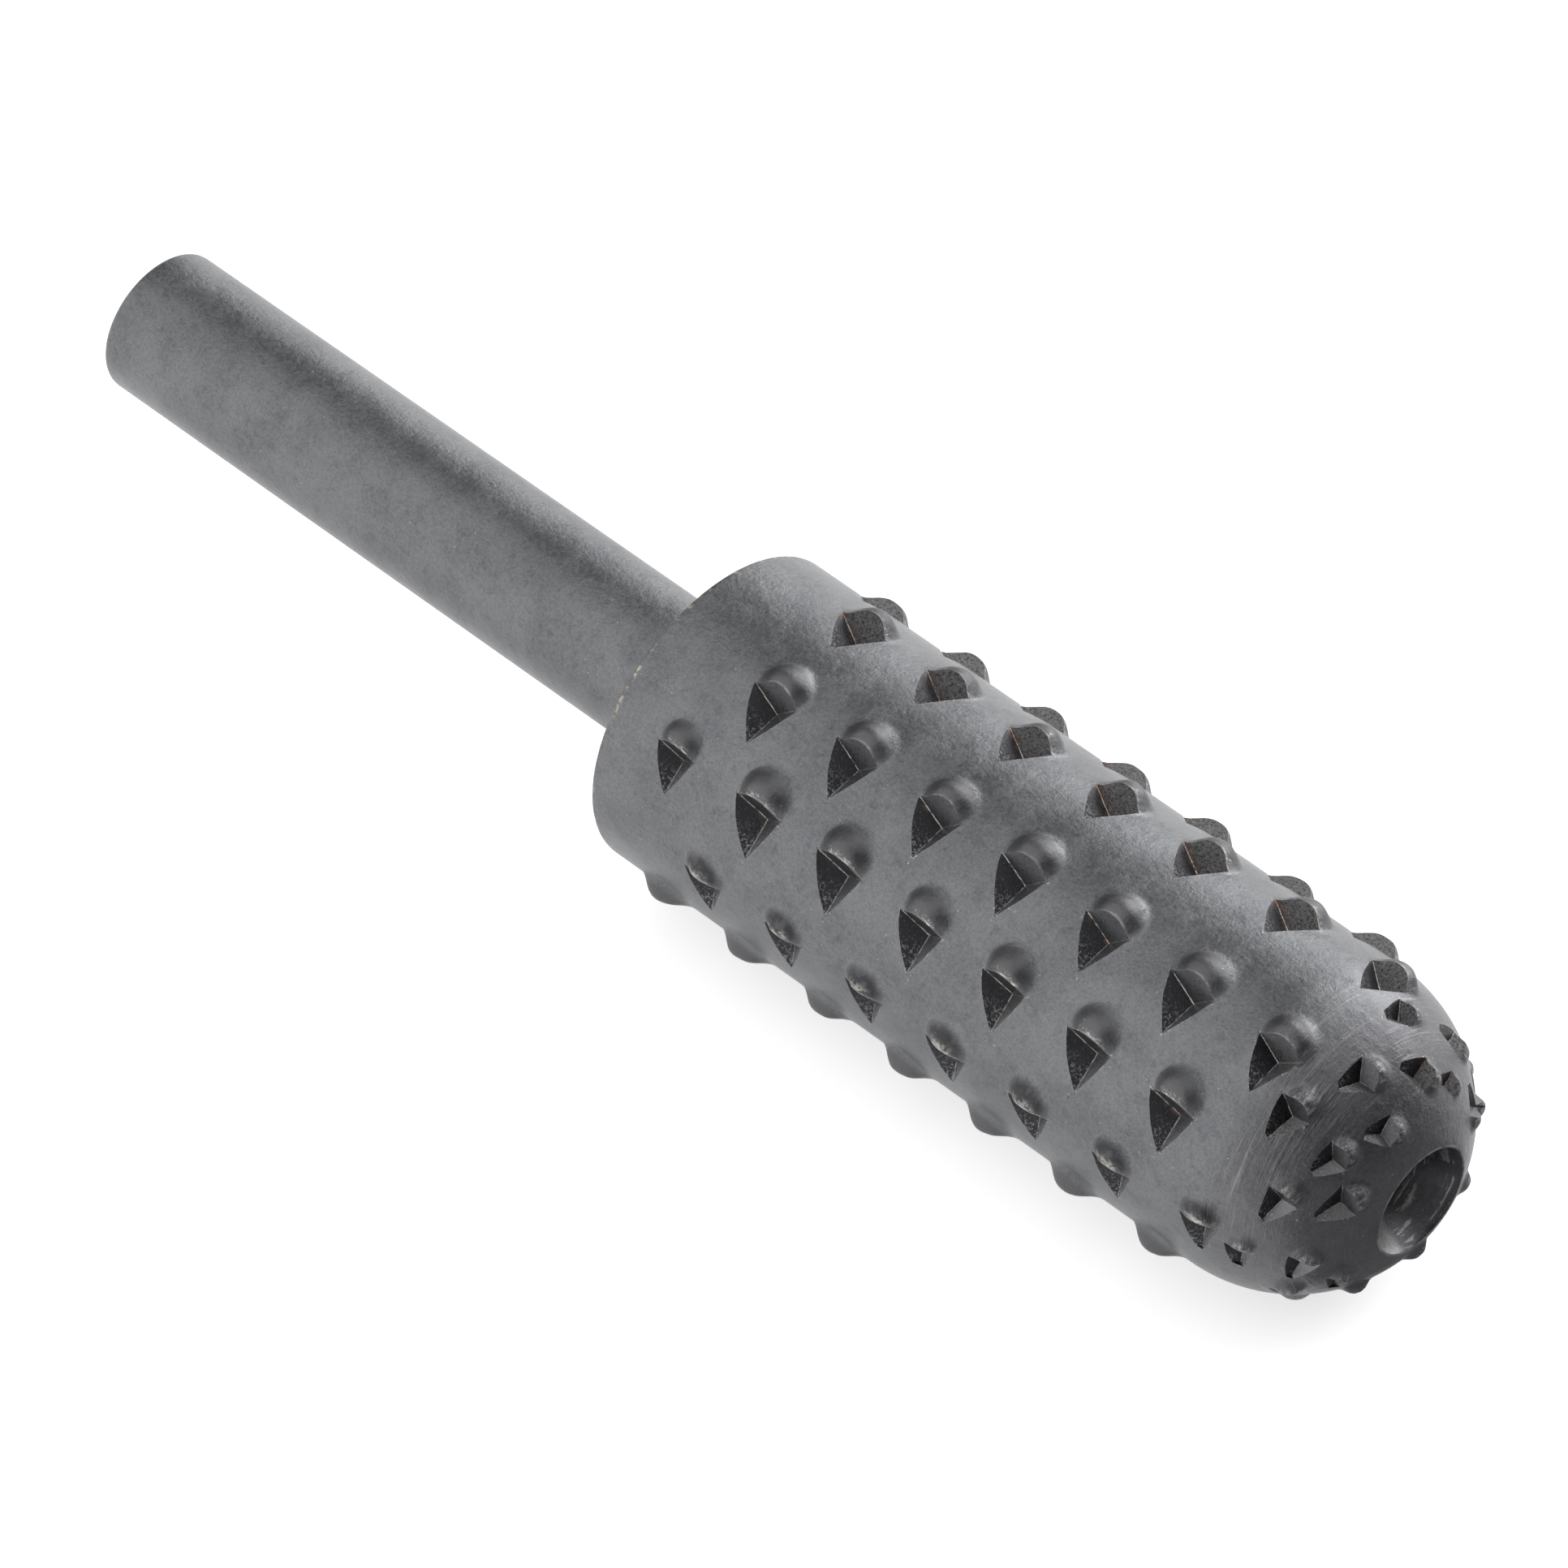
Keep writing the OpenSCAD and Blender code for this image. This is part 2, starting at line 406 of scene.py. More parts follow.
# Throws up the bulges, sinks the punch, and writes each point's place in its nearest tooth's own frame
class Punching(Shaping):
    def __init__(self, skin, pit):
        super().__init__("punchTeeth", {
            "Places": "Object", "Punch": "Object",
            "Bulge Height": "Float", "Bulge Along": "Float", "Bulge Across": "Float",
            "Bulge Shift": "Float", "Bulge Back": "Float",
            "Punch Cuts": "Int", "Punch Roughness": "Float", "Crisp Angle": "Float", "Seed": "Int",
        })
        self.places = self.inObject("Places")
        raised = self.raiseBulges(self.start["Geometry"])
        plain = self.paint(self.store(raised, "facet", 0.0, domain="FACE"), skin)
        cut = self.add("GeometryNodeMeshBoolean", {"Mesh 1": plain, "Mesh 2": self.punches(pit)},
                       operation="DIFFERENCE", solver="MANIFOLD")
        punched = self.store(cut.outputs["Mesh"], "toothSpace", self.toothFrame(), "FLOAT_VECTOR")
        punched = self.store(punched, "toothWhim", self.nearest("whim"))
        realized = self.add("GeometryNodeRealizeInstances", {"Geometry": self.crisp(punched)}).outputs[0]
        self.end(self.paint(realized, pit, self.greater(self.named("facet"), 0.5)))

    def inObject(self, name):
        return self.add("GeometryNodeObjectInfo", {"Object": self.start[name]}).outputs["Geometry"]

    def paint(self, geometry, material, chosen=None):
        return self.add("GeometryNodeSetMaterial", {
            "Geometry": geometry, "Selection": chosen, "Material": material,
        }).outputs[0]

    # what the nearest tooth's place holds under a name, or where that place is
    def nearest(self, name, kind="FLOAT"):
        index = self.add("GeometryNodeSampleNearest", {"Geometry": self.places}, domain="POINT").outputs[0]
        value = self.position if name == "position" else self.named(name, kind)
        return self.sample(self.places, index, value, kind)

    # a point in its nearest tooth's frame, as (along, back, out) in tooth sizes
    def toothFrame(self):
        away = self.vec("SUBTRACT", self.position, self.nearest("position", "FLOAT_VECTOR"))
        along, out = self.nearest("along", "FLOAT_VECTOR"), self.nearest("out", "FLOAT_VECTOR")
        back = self.vec("CROSS_PRODUCT", out, along)
        size = self.nearest("size")
        return self.join(*(self.sum("DIVIDE", self.vec("DOT_PRODUCT", away, axis), size)
                           for axis in (along, back, out)))

    # each bulge is an oval behind its crest: lumpy, and lower where the punch pressed on it
    def raiseBulges(self, blank):
        start, local, spread = self.start, self.split(self.toothFrame()), self.nearest("spread")
        x, y = (self.sum("DIVIDE", local[axis], spread) for axis in "XY")
        across = self.sum("DIVIDE", self.sum("SUBTRACT", y, start["Bulge Back"]), start["Bulge Across"])
        along = self.sum("DIVIDE", self.sum("SUBTRACT", x, start["Bulge Shift"]), start["Bulge Along"])
        reach = self.sum("SQRT", self.sum("ADD", self.times(across, across), self.times(along, along)))
        pressed = self.ramp(y, *teeth["pressed"], self.nearest("atFace"))
        height = self.times(self.curve(reach, teeth["profile"]), pressed, start["Bulge Height"],
                            self.times(self.nearest("size"), self.nearest("bulge")))
        lowest, gain = teeth["lumps"]
        lumpy = self.sum("ADD", lowest, self.times(self.noise(0.9, 1.0, 3.7)[0], gain))
        normal = self.add("GeometryNodeInputNormal").outputs[0]
        return self.add("GeometryNodeSetPosition", {
            "Geometry": self.store(blank, "lift", height),
            "Offset": self.vec("SCALE", normal, scale=self.times(height, lumpy)),
        }).outputs[0]

    # the punch's point set in every tooth's place, a little rough
    def punches(self, pit):
        point = self.add("GeometryNodeSubdivideMesh", {
            "Mesh": self.inObject("Punch"), "Level": self.start["Punch Cuts"],
        }).outputs[0]
        facing = self.add("FunctionNodeAxesToRotation", {
            "Primary Axis": self.named("out", "FLOAT_VECTOR"),
            "Secondary Axis": self.named("along", "FLOAT_VECTOR"),
        }, primary_axis="Z", secondary_axis="X").outputs[0]
        struck = self.add("GeometryNodeInstanceOnPoints", {
            "Points": self.places, "Instance": point, "Rotation": facing, "Scale": self.named("size"),
        }).outputs[0]
        tools = self.add("GeometryNodeRealizeInstances", {"Geometry": struck}).outputs[0]
        # the noise strays by about a quarter to each side, so four times that is the full roughness
        shift = self.vec("SUBTRACT", self.noise(1.6, 2.0, 1.3)["Color"], (0.5, 0.5, 0.5))
        tools = self.add("GeometryNodeSetPosition", {
            "Geometry": tools,
            "Offset": self.vec("SCALE", shift, scale=self.times(self.start["Punch Roughness"], 4.0)),
        }).outputs[0]
        tools = self.paint(tools, pit)
        for name in toothKeys:
            tools = self.add("GeometryNodeRemoveAttribute", {"Geometry": tools, "Name": name}).outputs[0]
        return tools

    # smooth but for the edges that bend sharply
    def crisp(self, geometry):
        bend = self.add("GeometryNodeInputMeshEdgeAngle").outputs["Unsigned Angle"]
        smooth = self.add("GeometryNodeSetShadeSmooth", {
            "Geometry": geometry, "Shade Smooth": True,
        }, domain="FACE").outputs[0]
        return self.add("GeometryNodeSetShadeSmooth", {
            "Geometry": smooth, "Shade Smooth": False,
            "Selection": self.greater(bend, self.start["Crisp Angle"]),
        }, domain="EDGE").outputs[0]


def useTree(piece, t, values):
    modifier = piece.modifiers.new(t.tree.name, "NODES")
    modifier.node_group = t.tree
    for name, value in values.items():
        modifier[t.ins[name]] = value


# Turns a piece with live modifiers into a plain mesh object, in metres
def bakePiece(source, name):
    evaluated = source.evaluated_get(bpy.context.evaluated_depsgraph_get())
    mesh = bpy.data.meshes.new_from_object(evaluated)
    mesh.transform(Matrix.Scale(toMetres, 4))
    mesh.name = name
    source.modifiers.clear()
    bpy.data.objects.remove(source)
    return newObject(name, mesh)


steel = {
    "metallic": 0.85,
    "roughness": 0.35,
    "bulgeRoughness": 0.44,
    "skin": (0.205, 0.208, 0.216),
    "skinDark": (0.105, 0.108, 0.115),
    "fleck": (0.55, 0.55, 0.53),
    "bulge": (0.105, 0.105, 0.109),
    # painted shade: on the bulges' flanks, on the front row's bulges and along the pits' sides
    "paintedShade": (0.035, 0.035, 0.038),
    "crackle": (0.05, 0.05, 0.052),
    # worn crests with a painted highlight on them, painted glints, and the front row's painted highlight
    "crest": (0.66, 0.64, 0.58),
    "crestGlintWidth": 0.09,
    "burr": (0.75, 0.75, 0.73),
    "nose": (0.098, 0.094, 0.103),
    "noseStart": 29.8,
    "noseFull": 33.2,
    "scratch": (0.26, 0.255, 0.265),
    # painted shade inside the hole
    "hole": (0.06, 0.057, 0.062),
    "scuff": (0.4, 0.395, 0.4),
    "dirt": (0.1, 0.08, 0.06),
    "looseScale": (0.6, 0.54, 0.44),
    # painted light and shade: one colour for each facet of the pits, lighter or darker by how it faces the
    # light
    "pitFrontShading": (0.1, 0.1, 0.105),
    "pitForeShading": (0.16, 0.16, 0.165),
    "pitRearShading": (0.03, 0.03, 0.034),
    "pitGrain": (0.33, 0.33, 0.33),
    "pock": (0.03, 0.03, 0.03),
    # the punched faces of the rows near the top
    "topFace": (0.17, 0.165, 0.165),
    "topFaceDark": (0.02, 0.018, 0.017),
    "topFaceLight": (0.4, 0.38, 0.36),
    # painted highlight along the pits' edges
    "edge": (0.62, 0.61, 0.58),
    "edgeHighlightWidth": 0.028,
    "rust": (0.14, 0.09, 0.07),
    # metres that the bump's full height stands for
    "skinBump": 0.00004,
    "pitBump": 0.00005,
}


# The same ways on a material's own nodes, and what both finishes know of a point. A ramp on a place is
# in millimetres, one in a tooth's frame is in tooth sizes, and one on a noise is in the noise's range.
class Finish(Tree):
    def __init__(self, name):
        self.material = bpy.data.materials.new(name)
        self.material.use_nodes = True
        super().__init__(self.material.node_tree)
        self.shader = self.tree.nodes["Principled BSDF"]
        self.shader.inputs["Metallic"].default_value = steel["metallic"]
        inMetres = self.add("ShaderNodeTexCoord").outputs["Object"]
        self.inMillimetres = self.vec("SCALE", inMetres, scale=1 / toMetres)
        self.place = self.split(self.inMillimetres)
        self.inTooth = self.attribute("toothSpace", "Vector")
        self.toothAxes = self.split(self.inTooth)
        self.topRows = self.times(self.ramp(self.place["Y"], 0.5, 2.0), self.ramp(self.place["Z"], 1.0, 2.5))

    def attribute(self, name, kind="Fac"):
        return self.add("ShaderNodeAttribute", attribute_name=name).outputs[kind]

    def noise(self, scale, detail, coarse=0.5, vector=None):
        return self.add("ShaderNodeTexNoise", {
            "Vector": vector or self.inMillimetres, "Scale": scale, "Detail": detail, "Roughness": coarse,
        }).outputs[0]

    def clamp(self, value):
        return self.add("ShaderNodeClamp", {"Value": value}).outputs[0]

    def blend(self, factor, a, b):
        made = self.add("ShaderNodeMix", data_type="RGBA")
        for key, value in (("Factor_Float", factor), ("A_Color", a), ("B_Color", b)):
            socket = next(i for i in made.inputs if i.identifier == key)
            self.put(socket, (*value, 1) if isinstance(value, tuple) else value)
        return next(o for o in made.outputs if o.identifier == "Result_Color")

    # how far the point lies from the line between two points
    def fromLine(self, point, a, b):
        a, b = Vector(a), Vector(b)
        run = b - a
        away = self.vec("SUBTRACT", point, tuple(a))
        share = self.sum("DIVIDE", self.vec("DOT_PRODUCT", away, tuple(run)), run.length_squared)
        return self.vec("DISTANCE", away, self.vec("SCALE", tuple(run), scale=self.clamp(share)))

    def setSurface(self, color, roughness, height, strength, depth):
        bump = self.add("ShaderNodeBump", {"Height": height, "Strength": strength, "Distance": depth})
        self.put(self.shader.inputs["Base Color"], color)
        self.put(self.shader.inputs["Roughness"], roughness)
        self.put(self.shader.inputs["Normal"], bump.outputs[0])


# The skin: each method lays one look over the colour that it is given
class Skin(Finish):
    def __init__(self):
        super().__init__("blackenedSteel")
        self.lift = self.attribute("lift")
        self.onBulge = self.ramp(self.lift, 0.06, 0.3)
        # the scale's texture, from the middling to the finest and the broadest
        self.grain = self.noise(6.5, 5.0, 0.72)
        self.fine = self.noise(15.0, 3.0, 0.7)
        self.cloud = self.noise(2.2, 4.0, 0.65)
        # where the point lies about the axis
        x = self.place["X"]
        aside = self.join(y=self.place["Y"], z=self.place["Z"])
        self.fromAxis = self.vec("LENGTH", aside)
        self.roundAxis = self.vec("NORMALIZE", aside)
        self.onNose = self.ramp(x, steel["noseStart"], steel["noseFull"])
        # the lathe's lines, which show in patches round the nose
        across = self.sum("ADD", self.times(x, 5.0), self.times(self.fromAxis, -5.0))
        self.lines = self.linesRound(across, 1.6, 0.75)
        patches = self.ramp(self.noise(0.55, 2.0, 0.4), 0.4, 0.62, 0.1, 0.9)
        self.turned = self.times(self.ramp(x, 29.2, 31.2), self.ramp(x, 35.0, 33.0, 0.3, 1.0), patches)
        # how far the point lies from the plane that the punch's front cut
        low, rear, fore = punchCorners()[:3]
        face = (rear - low).cross(fore - low).normalized()
        fromRear = self.vec("SUBTRACT", self.inTooth, tuple(rear))
        self.toFace = self.sum("ABSOLUTE", self.vec("DOT_PRODUCT", fromRear, tuple(face)))

    # noise drawn out into lines that run round the axis
    def linesRound(self, across, along, coarse):
        beside = self.vec("DOT_PRODUCT", self.roundAxis, (0.0, along, 0.0))
        above = self.vec("DOT_PRODUCT", self.roundAxis, (0.0, 0.0, along))
        return self.noise(1.0, 4.0, coarse, self.join(across, beside, above))

    # black scale, clouded and grainy
    def blackScale(self):
        shade = self.ramp(self.grain, 0.34, 0.66, 0.3, 0.72)
        for part in (self.ramp(self.noise(0.5, 3.0), 0.35, 0.65, -0.06, 0.22),
                     self.ramp(self.cloud, 0.32, 0.5, -0.2, 0.04),
                     self.ramp(self.fine, 0.35, 0.65, -0.2, 0.2)):
            shade = self.sum("ADD", shade, part)
        return self.blend(self.clamp(shade), steel["skinDark"], steel["skin"])

    # the turned nose: darker, with fine lines that run round it
    def nose(self, color):
        color = self.blend(self.times(self.onNose, 0.45), color, steel["nose"])
        return self.blend(self.times(self.ramp(self.lines, 0.54, 0.66), self.turned), color, steel["scratch"])

    # the hole: dark inside with painted shade, scuffed round its wall and on its lowest side, with a worn rim
    def hole(self, color):
        radius = bar["mouthRadius"]
        inside = self.times(self.ramp(self.fromAxis, radius + 0.07, radius - 0.05),
                            self.ramp(self.place["X"], 31.0, 31.6))
        # painted shade darkens the inside of the hole
        color = self.blend(self.times(inside, 0.75), color, steel["hole"])
        wallLines = self.linesRound(self.times(self.fromAxis, 9.0), 1.1, 0.7)
        scuffs = self.times(self.ramp(wallLines, 0.5, 0.6), self.ramp(self.noise(0.9, 1.0), 0.46, 0.56))
        color = self.blend(self.times(scuffs, inside, 0.7), color, steel["scuff"])
        lowSide = self.ramp(self.vec("DOT_PRODUCT", self.roundAxis, (0.0, -0.87, -0.5)), 0.72, 0.98)
        rubbedAndSheen = self.times(lowSide, inside, self.ramp(self.lines, 0.3, 0.6, 0.5, 1.0))
        color = self.blend(rubbedAndSheen, color, steel["scuff"])
        fromRim = self.sum("ABSOLUTE", self.sum("SUBTRACT", self.fromAxis, radius + bar["mouthRounding"] / 2))
        rim = self.times(self.ramp(fromRim, 0.07, 0.03), self.onNose)
        wearAndGlint = self.ramp(self.noise(1.6, 3.0), 0.4, 0.6, 0.1, 0.8)
        return self.blend(self.times(rim, wearAndGlint), color, steel["scuff"])

    # bulges are stretched smooth and dark, with a crackled foot, and painted shade on their fore and rear
    # flanks
    def bulges(self, color):
        color = self.blend(self.times(self.onBulge, 0.75), color, steel["bulge"])
        foot = self.times(self.ramp(self.lift, 0.01, 0.07), self.ramp(self.lift, 0.35, 0.12))
        patchy = self.ramp(self.noise(1.1, 2.0), 0.42, 0.6)
        self.crackle = self.times(foot, patchy, self.ramp(self.noise(9.0, 5.0, 0.85), 0.46, 0.62, 0.0, 0.4))
        color = self.blend(self.crackle, color, steel["crackle"])
        ragged = self.ramp(self.noise(5.0, 4.0, 0.75), 0.3, 0.7, -0.16, 0.16)
        along, back = self.sum("ADD", self.toothAxes["X"], ragged), self.toothAxes["Y"]
        # painted shade on the fore and rear flanks of each bulge
        foreFlankShade = self.times(self.ramp(along, 0.4, 0.8), self.ramp(back, 1.0, 0.55))
        rearFlankShade = self.times(self.ramp(along, -0.2, -0.7), self.ramp(back, 1.5, 1.0))
        paintedShade = self.times(self.sum("MAXIMUM", foreFlankShade, rearFlankShade), self.ramp(self.lift, 0.015, 0.09), 0.42)
        return self.blend(paintedShade, color, steel["paintedShade"])

    # crests are worn bright along a ragged line that widens toward the fore end, with a painted highlight
    # laid over the wear
    def crests(self, color):
        width = self.ramp(self.toothAxes["X"], -0.5, 0.35, 0.04, steel["crestGlintWidth"])
        edge = self.ramp(self.sum("DIVIDE", self.toFace, width), 1.0, 0.3)
        broken = self.ramp(self.noise(2.3, 4.0, 0.75), 0.4, 0.6, 0.12, 0.9)
        # the crests' painted highlight is brightest in the front rows, which also get painted glints as small
        # specks
        wearAndGlint = self.ramp(self.place["Y"], -3.6, -5.0, 0.35, 1.0)
        crest = self.times(edge, self.ramp(self.lift, 0.1, 0.25), broken, wearAndGlint)
        sparse = self.ramp(self.noise(8.0, 4.0, 0.8), 0.5, 0.62)
        specks = self.times(self.ramp(self.toFace, 0.26, 0.03), sparse, self.ramp(self.lift, 0.2, 0.36),
                            self.ramp(wearAndGlint, 0.6, 1.0, 0.0, 0.7))
        # the row that faces front gets a painted highlight behind its crests, and painted shade on its bulges
        # round that
        level = self.sum("ABSOLUTE", self.place["Z"])
        frontRow = self.times(self.ramp(self.place["Y"], -5.4, -6.2), self.ramp(level, 2.4, 1.4))
        fromMiddle = self.sum("ABSOLUTE", self.toothAxes["X"])
        patchy = self.ramp(self.noise(3.5, 4.0, 0.75), 0.42, 0.6)
        # painted highlight behind the front row's crests
        rubbedAndSheen = self.times(self.ramp(self.toFace, 0.6, 0.12), self.ramp(fromMiddle, 0.75, 0.3),
                            self.ramp(self.lift, 0.12, 0.3), patchy)
        # painted shade on the front row's bulges
        shaded = self.times(self.onBulge, self.ramp(self.cloud, 0.36, 0.54, 0.25, 0.75), frontRow)
        color = self.blend(shaded, color, steel["paintedShade"])
        bright = self.sum("MAXIMUM", self.sum("MAXIMUM", crest, specks), self.times(rubbedAndSheen, frontRow, 0.8))
        return self.blend(bright, color, steel["crest"])

    # torn metal stands bright at the crests' front ends in the rows near the top
    def burrs(self, color):
        ragged = self.ramp(self.noise(3.2, 5.0, 0.9), 0.56, 0.64)
        torn = self.times(self.ramp(self.toFace, 0.24, 0.04), ragged, self.topRows,
                          self.ramp(self.toothAxes["X"], 0.1, 0.7), self.ramp(self.lift, 0.02, 0.1))
        return self.blend(torn, color, steel["burr"])

    # the nose's bulges are dragged bright in streaks that run away from the punch
    def streaks(self, color):
        streaky = self.noise(1.4, 4.0, 0.75, self.vec("MULTIPLY", self.inTooth, (4.0, 1.2, 1.2)))
        dragged = self.times(self.ramp(streaky, 0.46, 0.6), self.ramp(self.toFace, 0.85, 0.2),
                             self.onNose, self.ramp(self.lift, 0.04, 0.18), 0.7)
        return self.blend(dragged, color, steel["scuff"])

    # small bright flecks all over
    def flecks(self, color):
        cells = self.add("ShaderNodeTexVoronoi", {"Vector": self.inMillimetres, "Scale": 2.6}).outputs
        chosen = self.add("ShaderNodeSeparateColor", {"Color": cells["Color"]}).outputs[0]
        fleck = self.times(self.ramp(cells["Distance"], 0.1, 0.04), self.ramp(chosen, 0.8, 0.82), 0.55)
        return self.blend(fleck, color, steel["fleck"])

    # the pits' sides are torn, with light flecks and a line of painted shade along them
    def pitSides(self, color):
        rear, fore, tip = punchCorners()[1:]
        flat = self.join(self.toothAxes["X"], self.toothAxes["Y"])
        flatTip = (tip.x, tip.y, 0)
        sides = self.sum("MINIMUM", *(self.fromLine(flat, (end.x, 0, 0), flatTip) for end in (rear, fore)))
        # painted shade along the pits' sides
        dark = self.times(self.ramp(sides, 0.07, 0.0), self.ramp(self.cloud, 0.4, 0.55), 0.6)
        color = self.blend(dark, color, steel["paintedShade"])
        torn = self.times(self.ramp(sides, 0.13, 0.03), self.ramp(self.noise(7.0, 3.0, 0.8), 0.56, 0.64), 0.7)
        return self.blend(torn, color, steel["fleck"])

    # scale and dirt caught on the shoulder's rim
    def shoulder(self, color):
        radius = bar["headRadius"]
        atRim = self.times(self.ramp(self.sum("ABSOLUTE", self.place["X"]), 0.3, 0.1),
                           self.ramp(self.fromAxis, radius - 0.37, radius - 0.12))
        caught = self.times(atRim, self.ramp(self.noise(2.6, 5.0, 0.8), 0.52, 0.6), 0.8)
        mixed = self.blend(self.ramp(self.cloud, 0.45, 0.55), steel["dirt"], steel["looseScale"])
        return self.blend(caught, color, mixed)

    # rougher in patches, with the lathe's lines and the crackle cut in
    def height(self):
        patches = self.ramp(self.noise(0.75, 3.0, 0.6), 0.44, 0.6, 0.7, 1.5)
        height = self.times(self.grain, patches)
        for part in (self.times(self.fine, 0.3), self.times(self.cloud, 1.2),
                     self.times(self.lines, self.turned, 2.4)):
            height = self.sum("ADD", height, part)
        return self.sum("SUBTRACT", height, self.times(self.crackle, 0.8))

    def roughness(self):
        rough = self.ramp(self.grain, 0.3, 0.7, steel["roughness"] - 0.06, steel["roughness"] + 0.06)
        more = self.times(self.onBulge, steel["bulgeRoughness"] - steel["roughness"])
        return self.sum("ADD", rough, more)


def skinFinish():
    skin = Skin()
    color = skin.blackScale()
    for layer in (skin.nose, skin.hole, skin.bulges, skin.crests, skin.burrs, skin.streaks,
                  skin.flecks, skin.pitSides, skin.shoulder):
        color = layer(color)
    skin.setSurface(color, skin.roughness(), skin.height(), 0.5, steel["skinBump"])
    return skin.material


# The punched faces, laid on in the same way
class Pit(Finish):
    def __init__(self):
        super().__init__("punchedSteel")
        self.whim = self.attribute("toothWhim")
        self.facet = self.attribute("facet")
        self.onFront = self.ramp(self.facet, 1.6, 1.4)
        self.grain = self.noise(9.0, 4.0, 0.75)
        unsteady = self.add("ShaderNodeTexNoise", {"Vector": self.inMillimetres, "Scale": 5.0, "Detail": 2.0})
        wobble = self.vec("SUBTRACT", unsteady.outputs["Color"], (0.5, 0.5, 0.5))
        self.point = self.vec("ADD", self.inTooth, self.vec("SCALE", wobble, scale=0.05))
        self.low, self.rear, self.fore, self.tip = punchCorners()

    # each facet painted lighter or darker as the light falls on it, with torn grain that gathers toward the
    # tip, and pocks on the front
    def facets(self):
        color = self.blend(self.ramp(self.facet, 1.4, 1.6), steel["pitFrontShading"], steel["pitForeShading"])
        color = self.blend(self.ramp(self.facet, 2.4, 2.6), color, steel["pitRearShading"])
        torn = self.times(self.ramp(self.toothAxes["Y"], -0.5, -1.7), self.ramp(self.grain, 0.5, 0.62), 0.7)
        spots = self.times(self.ramp(self.noise(13.0, 3.0, 0.8), 0.6, 0.68), 0.35)
        color = self.blend(self.sum("MAXIMUM", torn, spots), color, steel["pitGrain"])
        pocks = self.ramp(self.noise(7.0, 5.0, 0.85), 0.53, 0.66, 0.0, 0.75)
        return self.blend(self.times(pocks, self.onFront), color, steel["pock"])

    # the rows near the top are the roughest
    def crust(self, color):
        onTop = self.times(self.onFront, self.topRows)
        color = self.blend(self.times(onTop, 0.8), color, steel["topFace"])
        hollow = self.times(self.ramp(self.grain, 0.48, 0.42), onTop, 0.65)
        raised = self.times(self.ramp(self.grain, 0.57, 0.62), onTop, 0.35)
        color = self.blend(hollow, color, steel["topFaceDark"])
        return self.blend(raised, color, steel["topFaceLight"])

    # some pits have rusted at the rear edge and the fore corner, and most in the top rows down that edge
    def rust(self, color):
        rearLine = self.fromLine(self.point, self.rear, self.low)
        foreCorner = self.ramp(self.vec("DISTANCE", self.point, tuple(self.fore)), 0.5, 0.1)
        rusty = self.sum("MAXIMUM", self.ramp(rearLine, 0.2, 0.03), foreCorner)
        rusty = self.times(rusty, self.ramp(self.noise(2.2, 3.0, 0.65), 0.5, 0.6),
                           self.ramp(self.whim, 0.35, 0.6, 0.0, 0.75))
        streak = self.times(self.ramp(rearLine, 0.3, 0.08), self.ramp(self.noise(3.5, 4.0, 0.75), 0.44, 0.56),
                            self.topRows, self.ramp(self.whim, 0.1, 0.4))
        return self.blend(self.sum("MAXIMUM", rusty, streak), color, steel["rust"])

    # painted highlights along the edges between the facets, where rounded edges would catch the light, most
    # of all at the deepest point
    def edges(self, color):
        low, rear, fore, tip = self.low, self.rear, self.fore, self.tip
        bright = 0.0
        for a, b, gain in ((rear, low, 0.85), (low, tip, 0.5), (low, fore, 0.2),
                           (low, low.lerp(rear, 0.16), 1.0)):
            near = self.ramp(self.fromLine(self.point, a, b), steel["edgeHighlightWidth"], steel["edgeHighlightWidth"] * 0.35)
            bright = self.sum("MAXIMUM", bright, self.times(near, gain))
        self.bright = self.times(bright, self.ramp(self.noise(3.0, 3.0, 0.7), 0.36, 0.56, 0.15, 1.0))
        return self.blend(self.bright, color, steel["edge"])

    def height(self):
        torn = self.times(self.grain, self.ramp(self.toothAxes["Y"], -0.3, -1.6, 0.25, 1.6))
        crusted = self.times(self.grain, self.onFront, self.topRows, 4.0)
        return self.sum("ADD", self.sum("ADD", torn, self.bright), crusted)


def pitFinish():
    pit = Pit()
    color = pit.facets()
    for layer in (pit.crust, pit.rust, pit.edges):
        color = layer(color)
    pit.setSurface(color, pit.ramp(pit.grain, 0.3, 0.7, 0.24, 0.42), pit.height(), 0.6, steel["pitBump"])
    return pit.material


def makeRasp(skin, pit):
    blank = pointsObject("turnedBar", [(x, r, 0) for x, r in barSection()], {})
    places = toothPlaces()
    spots = pointsObject("toothPlaces", [p["spot"] for p in places],
                         {key: [p[key] for p in places] for key in toothKeys})
    tool = punchObject()
    useTree(blank, turningTree(), {"Sides": bar["sides"], "Weld": bar["weld"]})
    useTree(blank, Punching(skin, pit), {
        "Places": spots,
        "Punch": tool,
        "Bulge Height": teeth["bulgeHeight"],
        "Bulge Along": teeth["bulgeAlong"],
        "Bulge Across": teeth["bulgeAcross"],
        "Bulge Shift": teeth["bulgeShift"],
        "Bulge Back": teeth["bulgeBack"],
        "Punch Cuts": punch["cuts"],
        "Punch Roughness": punch["roughness"],
        "Crisp Angle": math.radians(punch["crispAngle"]),
        "Seed": chance["seed"],
    })
    bpy.context.view_layer.update()
    rasp = bakePiece(blank, "punchedRasp")
    bpy.data.objects.remove(spots)
    bpy.data.objects.remove(tool)
    return rasp


skinMaterial, pitMaterial = skinFinish(), pitFinish()
print("finishes made")
rasp = makeRasp(skinMaterial, pitMaterial)
triangles = sum(len(p.vertices) - 2 for p in rasp.data.polygons)
print("rasp punched:", len(rasp.data.polygons), "faces", triangles, "triangles")
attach(rasp, "root")
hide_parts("rasp")

